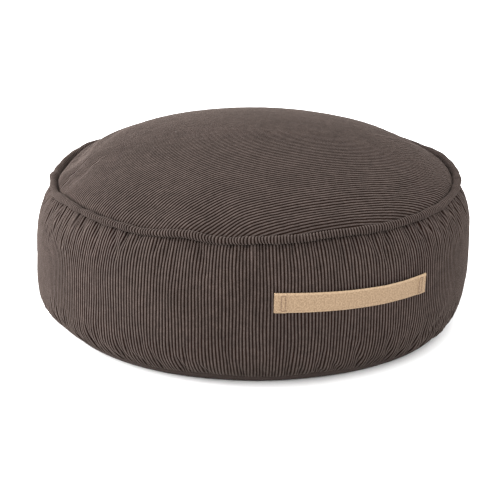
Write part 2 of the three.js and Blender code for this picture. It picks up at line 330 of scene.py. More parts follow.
def build_piece(name, places, corners, sizes, material, uv=None):
    """A smooth piece from its points and its faces' corner numbers, taken a face's size at a time. The
    faces that come first are a grid's, and uv is their grid of the flat cloth's coordinates."""
    mesh = bpy.data.meshes.new(name)
    mesh.vertices.add(len(places))
    mesh.vertices.foreach_set("co", places.astype(np.float32).ravel())
    mesh.loops.add(len(corners))
    mesh.loops.foreach_set("vertex_index", corners.astype(np.int32))
    mesh.polygons.add(len(sizes))
    starts = np.concatenate([[0], np.cumsum(sizes)[:-1]])
    mesh.polygons.foreach_set("loop_start", starts.astype(np.int32))
    mesh.polygons.foreach_set("use_smooth", np.ones(len(sizes), bool))
    mesh.update(calc_edges=True)
    if uv is not None:
        cells = quads(*uv.shape[:2], False).ravel()
        flat = np.zeros((len(corners), 2), np.float32)
        flat[:len(cells)] = uv.reshape(-1, 2)[cells]
        mesh.uv_layers.new(name="cloth").data.foreach_set("uv", flat.ravel())
    mesh.materials.append(material)
    return add_object(name, mesh)


def closed_piece(name, points, faces, rings, uv, material):
    """A piece of a grid's faces, with a fan from the middle of each ring of point numbers, facing against
    the way that the ring turns."""
    places = points.reshape(-1, 3)
    fans = [np.stack([np.full(len(ring), len(places) + number), np.roll(ring, -1), ring], -1)
            for number, ring in enumerate(rings)]
    places = np.concatenate([places, [places[ring].mean(0) for ring in rings]])
    corners = np.concatenate([part.ravel() for part in (faces, *fans)])
    sizes = np.repeat([4, 3], [len(faces), sum(map(len, rings))])
    return build_piece(name, places, corners, sizes, material, uv)


def capped_piece(name, points, uv, material):
    """A piece of a grid that closes round its columns, with a fan over its first and its last row."""
    rows, columns = points.shape[:2]
    first = np.arange(columns)
    last = first[::-1] + (rows - 1) * columns
    return closed_piece(name, points, quads(rows, columns, True), [first, last], uv, material)


def ring_piece(name, points, uv, material):
    """A piece from a grid of points that closes both ways, its last row repeating its first."""
    rows, columns = points.shape[:2]
    faces = quads(rows, columns, True) % ((rows - 1) * columns)
    sizes = np.full(len(faces), 4)
    return build_piece(name, points[:-1].reshape(-1, 3), faces.ravel(), sizes, material, uv)


def unit(vectors):
    """Vectors brought to a length of 1."""
    return vectors / np.maximum(np.linalg.norm(vectors, axis=-1, keepdims=True), 1e-12)


def grid_normals(points):
    """Outward normals of a grid closed round its columns: the cross product of its steps both ways."""
    along = np.roll(points, -1, 1) - np.roll(points, 1, 1)
    return unit(np.cross(along, np.gradient(points, axis=0)))


# Cloth simulation of the cover

SIM_COLUMNS = 300
SIM_BAND_ROWS = 37
SIM_CROWN_ROWS = 22
SIM_CROWN_INNER = 0.55  # the simulated part of the dome starts this far out
SEWING_FRAMES = 12  # the seams are drawn in over these frames
SIM_FRAMES = 36
SIM_CAP = 4 * MM  # the most that a point of cloth may leave the frame's form
SIM_LOWEST_TURN = 10  # slower waves round the form are the frame's own, and are taken out
SIM_SEED = 11
SIM_UNEVEN = 0.2 * MM  # how uneven the cut cloth is, so that it has somewhere to start creasing
SIM_CROWN_EASE = 0.985  # how tightly the dome's ring is cut at its inner edge
SIM_CROWN_DROP = 20 * MM  # from the top down to where the dome's ring starts
SIM_CLOTH = {"quality": 5, "mass": 0.005, "tension_stiffness": 15, "compression_stiffness": 15,
             "shear_stiffness": 3, "bending_stiffness": 0.002, "tension_damping": 2,
             "compression_damping": 2, "shear_damping": 1, "bending_damping": 0.02, "air_damping": 3,
             "use_pressure": True, "uniform_pressure_force": 60, "vertex_group_mass": "seams"}


def cover_grid():
    """The cover sewn and filled: the band's rows from base to top, and the dome's from its rim inwards."""
    azimuth = np.arange(SIM_COLUMNS) * 360 / SIM_COLUMNS
    level = np.linspace(-1, 1, SIM_BAND_ROWS)[:, None] + 0 * azimuth
    turn = azimuth + 0 * level
    band = round_points(turn, wall_radius(turn, level), wall_height(turn, level))
    share = np.linspace(1, SIM_CROWN_INNER, SIM_CROWN_ROWS)[:, None] + 0 * azimuth
    turn = azimuth + 0 * share
    dome = round_points(turn, TOP_SEAM_RADIUS * share, crown_height(turn, share))
    return band, dome


def row_steps(grid):
    """How far apart the rows of a grid are on the form, taken round all its columns."""
    return np.linalg.norm(np.diff(grid, axis=0), axis=-1).mean(1)


def flat_cut(band, dome):
    """The cloth as it was cut: the band a plain cylinder of the belly's round, its rows as far apart as on
    the form; the dome's ring flat, with the same row spacing."""
    azimuth = np.arange(SIM_COLUMNS) * 360 / SIM_COLUMNS
    height = np.append(0, np.cumsum(row_steps(band)))[:, None]
    height = height - height.max() / 2 + BELLY_HEIGHT
    inner = TOP_SEAM_RADIUS * SIM_CROWN_INNER * SIM_CROWN_EASE
    out = inner + np.cumsum(row_steps(dome)[::-1])
    radius = np.append(out[::-1], inner)[:, None]
    return (ring_points(azimuth, BELLY_RADIUS, height),
            ring_points(azimuth, radius, TOP_HEIGHT - SIM_CROWN_DROP))


def simulated_cover():
    """How the cover's cloth lies once its cut pieces are drawn in at their seams and blown up.

    The flat cut pieces are cloth; the rows at the seams are held and moved from where they were cut to
    where they are sewn. Returns how far each point ends from the frame's form, as (rows, columns, 3).
    """
    band, dome = cover_grid()
    band_cut, dome_cut = flat_cut(band, dome)
    sewn = np.concatenate([band.reshape(-1, 3), dome.reshape(-1, 3)])
    start = np.concatenate([band_cut.reshape(-1, 3), dome_cut.reshape(-1, 3)])
    band_faces = quads(SIM_BAND_ROWS, SIM_COLUMNS, True)
    dome_faces = quads(SIM_CROWN_ROWS, SIM_COLUMNS, True) + SIM_BAND_ROWS * SIM_COLUMNS
    row = np.arange(len(start)) // SIM_COLUMNS
    held = np.isin(row, [0, SIM_BAND_ROWS - 1, SIM_BAND_ROWS, SIM_BAND_ROWS + SIM_CROWN_ROWS - 1])
    uneven = np.random.default_rng(SIM_SEED).normal(0, SIM_UNEVEN, start.shape) * ~held[:, None]
    mesh = bpy.data.meshes.new("cover_cloth")
    mesh.from_pydata((start + uneven).tolist(), [], np.concatenate([band_faces, dome_faces]).tolist())
    cover = add_object("cover_cloth", mesh)
    cover.vertex_groups.new(name="seams").add(np.flatnonzero(held).tolist(), 1.0, "REPLACE")
    cover.shape_key_add(name="cut")
    drawn_in = cover.shape_key_add(name="sewn")
    drawn_in.data.foreach_set("co", sewn.astype(np.float32).ravel())
    drawn_in.value = 0
    drawn_in.keyframe_insert("value", frame=1)
    drawn_in.value = 1
    drawn_in.keyframe_insert("value", frame=1 + SEWING_FRAMES)
    modifier = cover.modifiers.new("Cloth", "CLOTH")
    cloth = modifier.settings
    for name, value in SIM_CLOTH.items():
        setattr(cloth, name, value)
    cloth.effector_weights.gravity = 0
    modifier.collision_settings.use_collision = False
    modifier.point_cache.frame_end = SIM_FRAMES
    scene = bpy.context.scene
    for number in range(1, SIM_FRAMES + 1):
        scene.frame_set(number)
    settled = np.empty(len(start) * 3, np.float32)
    shown = cover.evaluated_get(bpy.context.evaluated_depsgraph_get())
    shown.data.vertices.foreach_get("co", settled)
    moved = settled.reshape(-1, 3).astype(float) - sewn
    scene.frame_set(1)
    bpy.data.actions.remove(mesh.shape_keys.animation_data.action)
    bpy.data.objects.remove(cover)
    bpy.data.meshes.remove(mesh)
    split = SIM_BAND_ROWS * SIM_COLUMNS
    return moved[:split].reshape(band.shape), moved[split:].reshape(dome.shape)


def sample_rows(grid, azimuth, row):
    """A (rows, columns, 3) grid round the form at any azimuth in degrees and row number.

    Round it the four nearest columns meet in a Catmull-Rom curve; between rows it runs straight. Rows
    stop a hair short of the last one, so that there is always a next one.
    """
    rows, columns = grid.shape[:2]
    row = np.clip(row, 0, rows - 1.0001)
    low = row.astype(int)
    share = (row - low)[..., None]
    place = (azimuth % 360) / 360 * columns
    left = np.floor(place).astype(int)
    t = (place - left)[..., None]
    weights = (0.5 * (-t + 2 * t ** 2 - t ** 3), 0.5 * (2 - 5 * t ** 2 + 3 * t ** 3),
               0.5 * (t + 4 * t ** 2 - 3 * t ** 3), 0.5 * (t ** 3 - t ** 2))
    total = 0.0
    for step, weight in zip((-1, 0, 1, 2), weights):
        column = (left + step) % columns
        total = total + weight * (grid[low, column] * (1 - share) + grid[low + 1, column] * share)
    return total


def creases_only(moves):
    """What is left of a grid's moves once their slow waves round the form are taken out, held to SIM_CAP by
    a tanh."""
    waves = np.fft.rfft(moves, axis=1)
    waves[:, :SIM_LOWEST_TURN] = 0
    kept = np.fft.irfft(waves, moves.shape[1], axis=1)
    size = np.linalg.norm(kept, axis=-1, keepdims=True)
    return kept * np.tanh(size / SIM_CAP) * SIM_CAP / np.maximum(size, 1e-9)


# Pieces

BAND_SIDEWAYS = 0.4  # the share of the simulated moves round the form that the stiff wales let through
CROWN_CREASE = 0.3  # the share of the simulated creases that the firmly filled top keeps

# Narrow folds of the top where its rim is pulled in, as CROWN_HOLLOWS
RIM_FOLDS = table(
    "azimuth inset along across depth slant",
    (-82, 13, 15, 4, 1.8, 0.03), (-88, 24, 19, 4, 1.6, 0.02), (-100, 36, 22, 4.5, 1.3, 0),
    (-118, 20, 18, 4, 1.4, 0), (70, 16, 12, 4, 1.2, -0.03), (84, 25, 16, 4, 1.5, -0.02),
    (100, 15, 16, 4, 1.3, 0), (116, 34, 18, 5, 1.2, 0))


# Long narrow ridges (+) and creases (-) of the top, seen in plan: both ends, how far its middle bows to
# the left of the way it runs, width and rise in millimetres, and its painted sheen: how much paler the pile
# is drawn along it, as if catching the light
CROWN_FOLDS = table(
    "x1 y1 x2 y2 bow width rise bloom",
    (-266, -60, -204, 6, 0, 1.8, 0.9, 0.9), (-268, -57, -207, 9, 0, 2.0, -0.9, 0),
    (-262, -81, -196, -22, -9.8, 1.8, 0.9, 0.9), (-264, -78, -198, -19, -9.8, 2.0, -0.9, 0),
    (-271, -30, -226, 32, 0, 5.0, 0.5, 0.35), (270, -56, 259, -2, 0, 2.0, -1.8, 0),
    (273, -46, 265, 6, 0, 1.8, 0.8, 0.6), (232, 60, 150, 20, 0, 5.0, 0.8, 0.3))

# Folds of the band at each seam: azimuth where each starts near the seam and where it ends, how far from
# the seam those ends are, width and rise in millimetres, and painted sheen, as for the top
TOP_FOLDS = table(
    "start end near far width rise bloom",
    (-68.2, -66.1, 6, 42, 3.0, 1.8, 0.5), (-63.5, -61.5, 6, 40, 8.0, -1.2, 0),
    (-57.8, -55.8, 4, 38, 3.5, 2.2, 0.7), (-55.2, -54.6, 4, 30, 1.8, -0.8, 0),
    (-50.8, -50.4, 4, 28, 3.0, 1.6, 0.5), (-65.4, -54.8, 40, 58, 2.5, -0.8, 0),
    (-60.5, -54.1, 44, 64, 3.0, 1.4, 0.3), (-0.5, -0.5, 1, 24, 2.6, 1.4, 0.35),
    (-1.9, -1.7, 1, 20, 1.6, -1.2, 0), (50.4, 48.6, 2, 28, 2.2, -2.4, 0),
    (54.5, 52.6, 2, 28, 2.4, -2.6, 0), (60.9, 58.5, 3, 30, 2.4, -2.6, 0),
    (67.6, 65.9, 3, 30, 2.4, -2.4, 0), (77.0, 71.9, 3, 26, 2.2, -2.0, 0),
    (52.4, 50.8, 4, 28, 2.4, 1.2, 0.35), (57.5, 55.6, 4, 36, 2.8, 1.6, 0.5),
    (64.2, 61.6, 4, 30, 2.6, 1.5, 0.45), (72.0, 69.0, 4, 28, 2.6, 1.2, 0.35))
BASE_FOLDS = table(
    "start end near far width rise bloom",
    (55.5, 72.5, 20, 50, 7.0, -2.8, 0), (63.9, 68.9, 8, 34, 3.2, -2.4, 0),
    (49.0, 62.6, 7, 80, 6.0, 2.0, 0.35), (51.4, 60.4, 9, 55, 3.2, -2.0, 0))
FOLD_OPENS = (-0.08, 0.12)  # shares of a fold's length where it rises and where it falls off
FOLD_CLOSES = (0.6, 1.05)

# Fine gathers at each seam: how many degrees apart, and the ranges that each one's numbers are drawn from
FINE_SPACING = 3.4
FINE_RANGES = {"azimuth": (-1.1, 1.1), "slant": (-2.2, 2.2), "width": (2.6, 4.2), "depth": (0.3, 1.9),
               "reach": (9, 20)}
FINE_SEEDS = (3, 4)  # at the top seam and the base seam
FINE_START = 6 * MM
OUT_OF_REACH = 1.0  # metres from a seam, where no gather gets to
FINE_LEFT = 0.4  # the share of them left at the top where its narrow folds are
FINE_LEFT_AT = ((-59, 12), (62, 15))  # azimuth and width in degrees

# The welt's ribs and its run
WELT_BOW = 0.42  # of a wale, how far each rib bows over the roll
WELT_BOW_AT = 0.5  # the angle round the roll that the bow starts at
WELT_RIB = 2.4 * MM
WELT_RIB_SEAT = 0.6
WELT_SLIM = 0.95 * MM
WELT_LIP_POWER = 6  # how narrow the lip down to the seam is
WELT_LUMPS = table(
    "azimuth width rise",
    (-92, 4, 0.14), (-80, 5, -0.16), (-70, 4, 0.05), (-50, 20, -0.15), (84, 5, 0.08), (70, 5, -0.06))


def fold_ends(along):
    """A window along a fold: rising in a smooth step at its start and falling off over its last part."""
    return smooth_step(along, *FOLD_OPENS) * (1 - smooth_step(along, *FOLD_CLOSES))


def crown_folds(points):
    """Rise and painted sheen of the top's folds at points in plan: a hump across each, windowed along it.
    """
    rise, bloom = np.zeros(points.shape[:-1]), np.zeros(points.shape[:-1])
    for x1, y1, x2, y2, bow, width, height, pale in zip(*CROWN_FOLDS.values()):
        start, end = np.array([x1, y1]) * MM, np.array([x2, y2]) * MM
        length = np.linalg.norm(end - start)
        along = (points[..., :2] - start) @ (end - start) / length ** 2
        across = (points[..., :2] - start) @ [start[1] - end[1], end[0] - start[0]] / length
        shape = hump(across - bow * MM * 4 * along * (1 - along), width * MM) * fold_ends(along)
        rise += height * MM * shape
        bloom += pale * shape
    return rise, bloom


def band_folds(turn, level):
    """Rise and painted sheen of the band's folds at an azimuth and a level, made as the top's."""
    rise, bloom = np.zeros(turn.shape), np.zeros(turn.shape)
    height = wall_height(turn, level)
    for folds, side, from_seam in ((TOP_FOLDS, level > 0, top_seam(turn) - height),
                                   (BASE_FOLDS, level < 0, height - base_seam(turn))):
        for start, end, near, far, width, stand, pale in zip(*folds.values()):
            along = (from_seam - near * MM) / ((far - near) * MM)
            middle = start + (end - start) * np.clip(along, 0, 1)
            across = np.radians(turn_between(turn, middle)) * BELLY_RADIUS
            shape = hump(across, width * MM) * fold_ends(along) * side
            rise += stand * MM * shape
            bloom += pale * shape
    return rise, bloom


def set_fold_sheen(piece, values):
    """Keep how much painted sheen lies on the pile at each point; a piece's hidden middles come last, with
    none.
    """
    bloom = np.zeros(len(piece.data.vertices), np.float32)
    bloom[:values.size] = np.clip(values, 0, 1).ravel()
    piece.data.attributes.new("bloom", "FLOAT", "POINT").data.foreach_set("value", bloom)


def wale_lift(count, along, wear, from_edge, fade):
    """How far the wales stand off the cloth: profile times height, worn a little here and there, and
    pressed flat in a hump at the seams."""
    worn = 1 + ripple(count * 360 / WALES_ROUND, along, *wear)
    pressed = 1 - hump(from_edge, fade[0]) * fade[1]
    return (wale_profile(count % 1) - WALE_SEAT) * WALE_HEIGHT * worn * pressed


def band_surface(turn, level, moves):
    """Points of the side band without its wales."""
    height = wall_height(turn, level)
    radius = wall_radius(turn, level)
    from_seam = BELLY_HEIGHT * (1 - np.abs(level))
    radius = radius + band_folds(turn, level)[0] - fine_gathers(turn, from_seam, level > 0)
    radius = np.where(level > 0, tucked(turn, radius, height, WALE_HEIGHT / 2), radius)
    points = round_points(turn, radius, height)
    if moves is not None:
        moved = sample_rows(moves, turn, (level + 1) / 2 * (SIM_BAND_ROWS - 1))
        sideways = np.stack([np.cos(np.radians(turn)), np.sin(np.radians(turn)), 0 * turn], -1)
        held = (moved * sideways).sum(-1, keepdims=True) * (1 - BAND_SIDEWAYS)
        points = points + moved - held * sideways
    return points


def fine_gathers(turn, from_seam, upper):
    """Short creases that run out of a seam between the main gathers: humps at seeded places, each narrow
    and short, deepest a little way out from the seam."""
    total = np.zeros(turn.shape)
    for seed, side in zip(FINE_SEEDS, (upper, ~upper)):
        draw = np.random.default_rng(seed)
        even = np.arange(0, 360, FINE_SPACING)
        drawn = [draw.uniform(low, high, len(even)) for low, high in FINE_RANGES.values()]
        away = np.where(side, from_seam, OUT_OF_REACH)
        for middle, moved, slant, width, depth, reach in zip(even, *drawn):
            across = np.radians(turn_between(turn, middle + moved + slant * away / (reach * MM)))
            total += depth * MM * hump(across * BELLY_RADIUS, width * MM) * np.exp(-away / (reach * MM))
    beside = np.maximum(*(hump(turn_between(turn, middle), width) for middle, width in FINE_LEFT_AT))
    total = total * np.where(upper, 1 - (1 - FINE_LEFT) * beside, 1)
    return total * (1 - hump(from_seam, FINE_START))


def lean_turn(turn, height):
    """How far the form's lean carries a place round it, in degrees: the way that its middle has gone from
    where it is at the belly, along the tangent, over the belly's radius. Wales less this stay upright."""
    x, y = centre_at(height)
    belly_x, belly_y = centre_at(BELLY_HEIGHT)
    angle = np.radians(turn)
    sideways = (x - belly_x) * np.cos(angle) + (y - belly_y) * np.sin(angle)
    return np.degrees(sideways / BELLY_RADIUS)


def crowded(t, share):
    """Places from -1 to 1, drawn a little towards both ends: (1 - share) t + share sin(90 t)."""
    return (1 - share) * t + share * np.sin(np.pi / 2 * t)


def side_band(material, moves):
    """The band: WALES_ROUND upright wales on the barrel, six columns of points to each wale."""
    level = crowded(np.linspace(-1, 1, BAND_ROWS), BAND_CROWDING)[:, None] + 0 * BAND_COUNT
    turn = BAND_COUNT * 360 / WALES_ROUND + 0 * level
    drift = ripple(turn, level * BELLY_HEIGHT, *BAND_DRIFT) * 360 / WALES_ROUND
    turn = turn + drift * (1 - level ** BAND_DRIFT_POWER) - lean_turn(turn, wall_height(turn, level))
    points = band_surface(turn, level, moves)
    lift = wale_lift(BAND_COUNT + 0 * level, level * BELLY_HEIGHT, BAND_WEAR, 1 - np.abs(level),
                     BAND_FADE)
    points = points + grid_normals(points) * lift[..., None]
    run = np.append(0, np.cumsum(row_steps(points)))
    uv = paired(np.append(BAND_COUNT, WALES_ROUND), run[:, None])
    piece = capped_piece("corduroy_band", points, uv, material)
    set_fold_sheen(piece, band_folds(turn, level)[1])
    return piece


def crown_surface(azimuth, share, moves):
    """Points of the domed top without its wales, at an azimuth and a share of the seam's radius."""
    height = crown_height(azimuth, share) - rim_hollows(RIM_FOLDS, azimuth, share)
    radius = tucked(azimuth, TOP_SEAM_RADIUS * share, height, WALE_HEIGHT / 2)
    points = round_points(azimuth, radius, height)
    points[..., 2] += crown_folds(points)[0]
    if moves is not None:
        row = (1 - share) / (1 - SIM_CROWN_INNER) * (SIM_CROWN_ROWS - 1)
        inside = row > SIM_CROWN_ROWS - 1
        points = points + np.where(inside[..., None], 0, sample_rows(moves, azimuth, row))
    return points


def crown_normals(azimuth, share, moves):
    """Normals of the dome: the cross product of a small step round it and a small step outwards."""
    turn, out = CROWN_STEP
    share = np.clip(share, *CROWN_STEP_SHARES)
    around = crown_surface(azimuth + turn, share, moves) - crown_surface(azimuth - turn, share, moves)
    outward = crown_surface(azimuth, share + out, moves) - crown_surface(azimuth, share - out, moves)
    return unit(np.cross(outward, around))


def flat_to_plan():
    """Radii of the top as flat cloth and as laid on the dome: arc length from the middle, and radius."""
    share = np.linspace(0, 1, PLAN_POINTS)
    rise = CROWN_RISE * (1 - share ** CROWN_POWER) ** CROWN_EDGE_POWER
    steps = np.hypot(np.diff(share) * TOP_SEAM_RADIUS, np.diff(rise))
    return np.append(0, np.cumsum(steps)), share * TOP_SEAM_RADIUS


def wale_bend(along):
    """How far a wale of the top runs sideways along its length: the integral of a slope that falls in one
    smooth step on the left and rises in another on the right."""
    place = np.linspace(-TURN_REACH, TURN_REACH, BEND_POINTS)
    slope = (LEFT_SLOPE * (1 - smooth_step(place, *LEFT_TURN))
             + RIGHT_SLOPE * smooth_step(place, *RIGHT_TURN))
    run = np.append(0, np.cumsum((slope[1:] + slope[:-1]) / 2 * np.diff(place)))
    return np.interp(along, place, run - np.interp(0, place, run))


def wale_ends(across, reach):
    """Where each wale meets the rim: the first and last place along it with along^2 + (across + bend)^2
    below reach^2, found on a fine line and straightened between its points."""
    place = np.linspace(-reach, reach, END_POINTS)
    beyond = place ** 2 + (across[:, None] + wale_bend(place)) ** 2 - reach ** 2
    inside = beyond < 0
    first = np.maximum(inside.argmax(1), 1)
    last = np.minimum(inside.shape[1] - 1 - inside[:, ::-1].argmax(1), inside.shape[1] - 2)
    every = np.arange(len(across))
    ends = []
    for inner, outer in ((first, first - 1), (last, last + 1)):
        share = beyond[every, inner] / (beyond[every, inner] - beyond[every, outer])
        ends.append(place[inner] + share * (place[outer] - place[inner]))
    return ends


def top_panel(material, moves):
    """The domed top, its wales one way across it, closed below by a fan from its rim.

    The cloth is worked out flat, with its wales WALE_PITCH apart, then laid on the dome so that every
    point keeps its azimuth and its distance from the middle along the surface.
    """
    flat, plan = flat_to_plan()
    reach = flat[-1]
    angle = np.linspace(0, 2 * np.pi, RIM_POINTS)
    edge = reach * np.sin(angle) - wale_bend(reach * np.cos(angle))
    wales = int((edge.max() - edge.min()) / WALE_PITCH)
    count = np.append((np.arange(wales)[:, None] + CROWN_COLUMNS).ravel(), wales)
    place = CROWN_EDGE + (1 - 2 * CROWN_EDGE) * count / wales
    across = edge.min() + (edge.max() - edge.min()) * place
    left, right = wale_ends(across, reach)
    spread = crowded(np.linspace(-1, 1, CROWN_ROWS), CROWN_CROWDING)[:, None]
    p = (left + right) / 2 + spread * (right - left) / 2
    drift = ripple(across * CROWN_DRIFT_TURN, p, *CROWN_DRIFT) * MM * (1 - spread ** CROWN_DRIFT_POWER)
    q = across + wale_bend(p) + drift
    x = p * np.cos(CROWN_TURN) - q * np.sin(CROWN_TURN)
    y = p * np.sin(CROWN_TURN) + q * np.cos(CROWN_TURN)
    share = np.interp(np.hypot(x, y), flat, plan) / TOP_SEAM_RADIUS
    azimuth = np.degrees(np.arctan2(x, -y))
    lift = wale_lift(count + 0 * p, p, CROWN_WEAR, 1 - share, CROWN_FADE)
    points = crown_surface(azimuth, share, moves)
    points = points + crown_normals(azimuth, share, moves) * lift[..., None]
    rows, columns = p.shape
    number = np.arange(rows * columns).reshape(rows, columns)
    rim = np.concatenate([number[0], number[1:, -1], number[-1, -2::-1], number[-2:0:-1, 0]])
    piece = closed_piece("corduroy_top", points, quads(rows, columns, False), [rim], paired(count, p),
                         material)
    set_fold_sheen(piece, crown_folds(points)[1])
    return piece


def welt(material):
    """The rolled strip in the top seam: a ring of circles, each wale bowed like a bracket over the roll.

    Where it stands proud of the seam its section has a lip, a power of a cosine, down to the seam.
    """
    around = np.linspace(0, 2 * np.pi, WELT_SIDES + 1)[:, None]
    turn = BAND_COUNT * 360 / WALES_ROUND + 0 * around
    drift = ripple(turn, WELT_DRIFT_REACH * np.sin(around), *WELT_DRIFT)
    turn = turn + (drift - WELT_BOW * np.cos(around - WELT_BOW_AT)) * 360 / WALES_ROUND
    height = welt_height(turn) + ripple(turn, 0 * around, *WELT_SWAY) * MM
    plump = WELT_RADIUS * (1 + ripple(turn, 0 * around, *WELT_PLUMPNESS) + wander(WELT_LUMPS, turn) / MM)
    radius = plump - WELT_SLIM + (wale_profile(BAND_COUNT % 1) - WELT_RIB_SEAT) * WELT_RIB
    lift = welt_height(turn) - top_seam(turn)
    to_seam = np.hypot(WELT_RADIUS, lift) - WELT_RADIUS
    towards = np.cos(around - np.pi - np.arctan2(lift, WELT_RADIUS))
    radius = radius + np.maximum(to_seam, 0) * np.maximum(towards, 0) ** WELT_LIP_POWER
    middle = round_points(turn, TOP_SEAM_RADIUS + WELT_RADIUS + 0 * height, height)
    points = middle + ring_points(turn, 1, 0 * turn) * (radius * np.cos(around))[..., None]
    points[..., 2] += radius * np.sin(around)
    uv = paired(np.append(BAND_COUNT, WALES_ROUND), around * WELT_RADIUS)
    return ring_piece("corduroy_welt", points, uv, material)


BASE_COLUMNS = 720
BASE_RINGS = 13  # of its flat part, from a small middle out
BASE_EDGE_ROWS = 8
BASE_MIDDLE = 0.04  # the middle's share of the flat part's radius
BASE_CLOTH_STEP = 4.5 * MM  # of cloth for each degree round it


def base_panel(material):
    """The base: flat where it rests, then a quarter oval out to the base seam."""
    azimuth = np.arange(BASE_COLUMNS) * 360 / BASE_COLUMNS
    flat = np.linspace(BASE_MIDDLE, 1, BASE_RINGS + 1)[:-1, None] * REST_RADIUS
    angle = np.linspace(0, np.pi / 2, BASE_EDGE_ROWS)[:, None]
    seam = base_seam(azimuth) - PIECE_GAP / 2
    radius = np.concatenate([flat, REST_RADIUS + (BASE_SEAM_RADIUS - REST_RADIUS) * np.sin(angle)])
    height = np.concatenate([0 * flat + 0 * azimuth, seam * (1 - np.cos(angle))])
    points = round_points(azimuth, radius, height)
    uv = paired(np.append(azimuth, 360) * BASE_CLOTH_STEP, radius)
    return capped_piece("cloth_base", points, uv, material)


# Where the handle lies: azimuth in degrees, height of its middle and how far its upper edge stands off
HANDLE = table(
    "azimuth height stand_off",
    (5.0, 123.4, 0.4), (15.7, 121.2, 1.8), (24.1, 119.5, 3.2), (33.9, 117.8, 4.4), (41.3, 117.4, 3.8),
    (47.9, 117.4, 1.4))
WEBBING_WIDTH = 25.5 * MM
WEBBING_THICKNESS = 2 * MM
WEBBING_HEM = 16 * MM
WEBBING_END = 1.4 * MM  # its folded ends get thinner over this length
WEBBING_END_SHARE = 0.35  # to this share of the thickness
WEBBING_ROUND = 0.6 * MM  # how far its edges bulge
HEM_STEP = (-1.5 * MM, 0.5 * MM)  # where the turned end runs out, from its cut edge
HEM_THICKNESS = 0.8  # what a turned end adds, as a share of the thickness
WEAVE_ALONG = 1.1 * MM
WEAVE_ACROSS = 0.9 * MM
WEAVE_DEPTH = 0.10 * MM
HANDLE_SECTIONS = 520
HANDLE_FACE_POINTS = 34
HANDLE_EDGE_POINTS = 4
HANDLE_GAP = 0.5 * MM
HANDLE_LENGTH = np.radians(HANDLE["azimuth"][-1] - HANDLE["azimuth"][0]) * BELLY_RADIUS


def handle_points(along, across, outward):
    """Points of the handle at a length along it, a share across it (0 lower edge, 1 upper edge) and a
    distance out from its inner face."""
    first, last = HANDLE["azimuth"][[0, -1]]
    azimuth = first + (last - first) * along / HANDLE_LENGTH
    height = (np.interp(azimuth, HANDLE["azimuth"], HANDLE["height"]) * MM
              + (across - 0.5) * WEBBING_WIDTH)
    seam = np.where(height > BELLY_HEIGHT, top_seam(azimuth), base_seam(azimuth))
    level = (height - BELLY_HEIGHT) / np.abs(seam - BELLY_HEIGHT)
    stand_off = np.interp(azimuth, HANDLE["azimuth"], HANDLE["stand_off"]) * MM * across
    radius = wall_radius(azimuth, level) + HANDLE_GAP + stand_off + outward
    return round_points(azimuth, radius, height)


def handle(material):
    """The webbing: a thin rounded section along its run, doubled where each end is turned under, with the
    weave's waves, a sine times a cosine, on its outer face."""
    along = np.linspace(0, HANDLE_LENGTH, HANDLE_SECTIONS)[:, None]
    face = np.linspace(0, 1, HANDLE_FACE_POINTS)
    edge = np.linspace(0, np.pi, HANDLE_EDGE_POINTS + 2)[1:-1]
    across = np.concatenate([face, 1 + 0 * edge, face[::-1], 0 * edge])
    side = np.concatenate([face * 0 + 1, np.cos(edge), face * 0 - 1, -np.cos(edge)])
    bulge = np.concatenate([face * 0, np.sin(edge), face * 0, -np.sin(edge)])
    from_end = np.minimum(along, HANDLE_LENGTH - along)
    hem = 1 - smooth_step(from_end - WEBBING_HEM, *HEM_STEP)
    ends = np.sqrt(smooth_step(from_end, 0, WEBBING_END))
    thickness = (WEBBING_THICKNESS * (1 + HEM_THICKNESS * hem)
                 * (WEBBING_END_SHARE + (1 - WEBBING_END_SHARE) * ends))
    weave = np.sin(np.pi * along / WEAVE_ALONG) * np.cos(np.pi * across * WEBBING_WIDTH / WEAVE_ACROSS)
    outward = thickness * (0.5 + 0.5 * side) + WEAVE_DEPTH * weave * (side == 1)
    share = across + bulge * WEBBING_ROUND / WEBBING_WIDTH
    points = handle_points(along, share, outward)[:, ::-1]
    uv = paired(np.append(across, across[0])[::-1] * WEBBING_WIDTH, along)
    return capped_piece("webbing_handle", points, uv, material)


STITCH_LENGTH = 2.6 * MM
STITCH_EDGE = 2.4 * MM
STITCH_BOX = 5.2 * MM  # along the webbing
STITCH_BOX_AT = 11.8 * MM  # from each end
STITCH_HALF = 0.45  # half of a stitch's own length, as a share of its place
STITCH_THICKNESS = 0.52 * MM
STITCH_TIP = 0.02  # what is left at its tips of its thickness squared, as a share
STITCH_ARCH = 0.22 * MM
STITCH_LIFT = 0.05 * MM
STITCH_RINGS = 5
STITCH_SIDES = 6


def stitch_run(corners, step):
    """Places and directions of stitches a step apart on the lines between corners (along, across)."""
    places, ways = [], []
    for start, end in zip(corners[:-1], corners[1:]):
        start, end = np.array(start), np.array(end)
        length = np.linalg.norm(end - start)
        number = max(1, int(round(length / step)))
        share = (np.arange(number) + 0.5)[:, None] / number
        places.append(start + (end - start) * share)
        ways.append(np.repeat((end - start)[None] / length, number, 0))
    return np.concatenate(places), np.concatenate(ways)


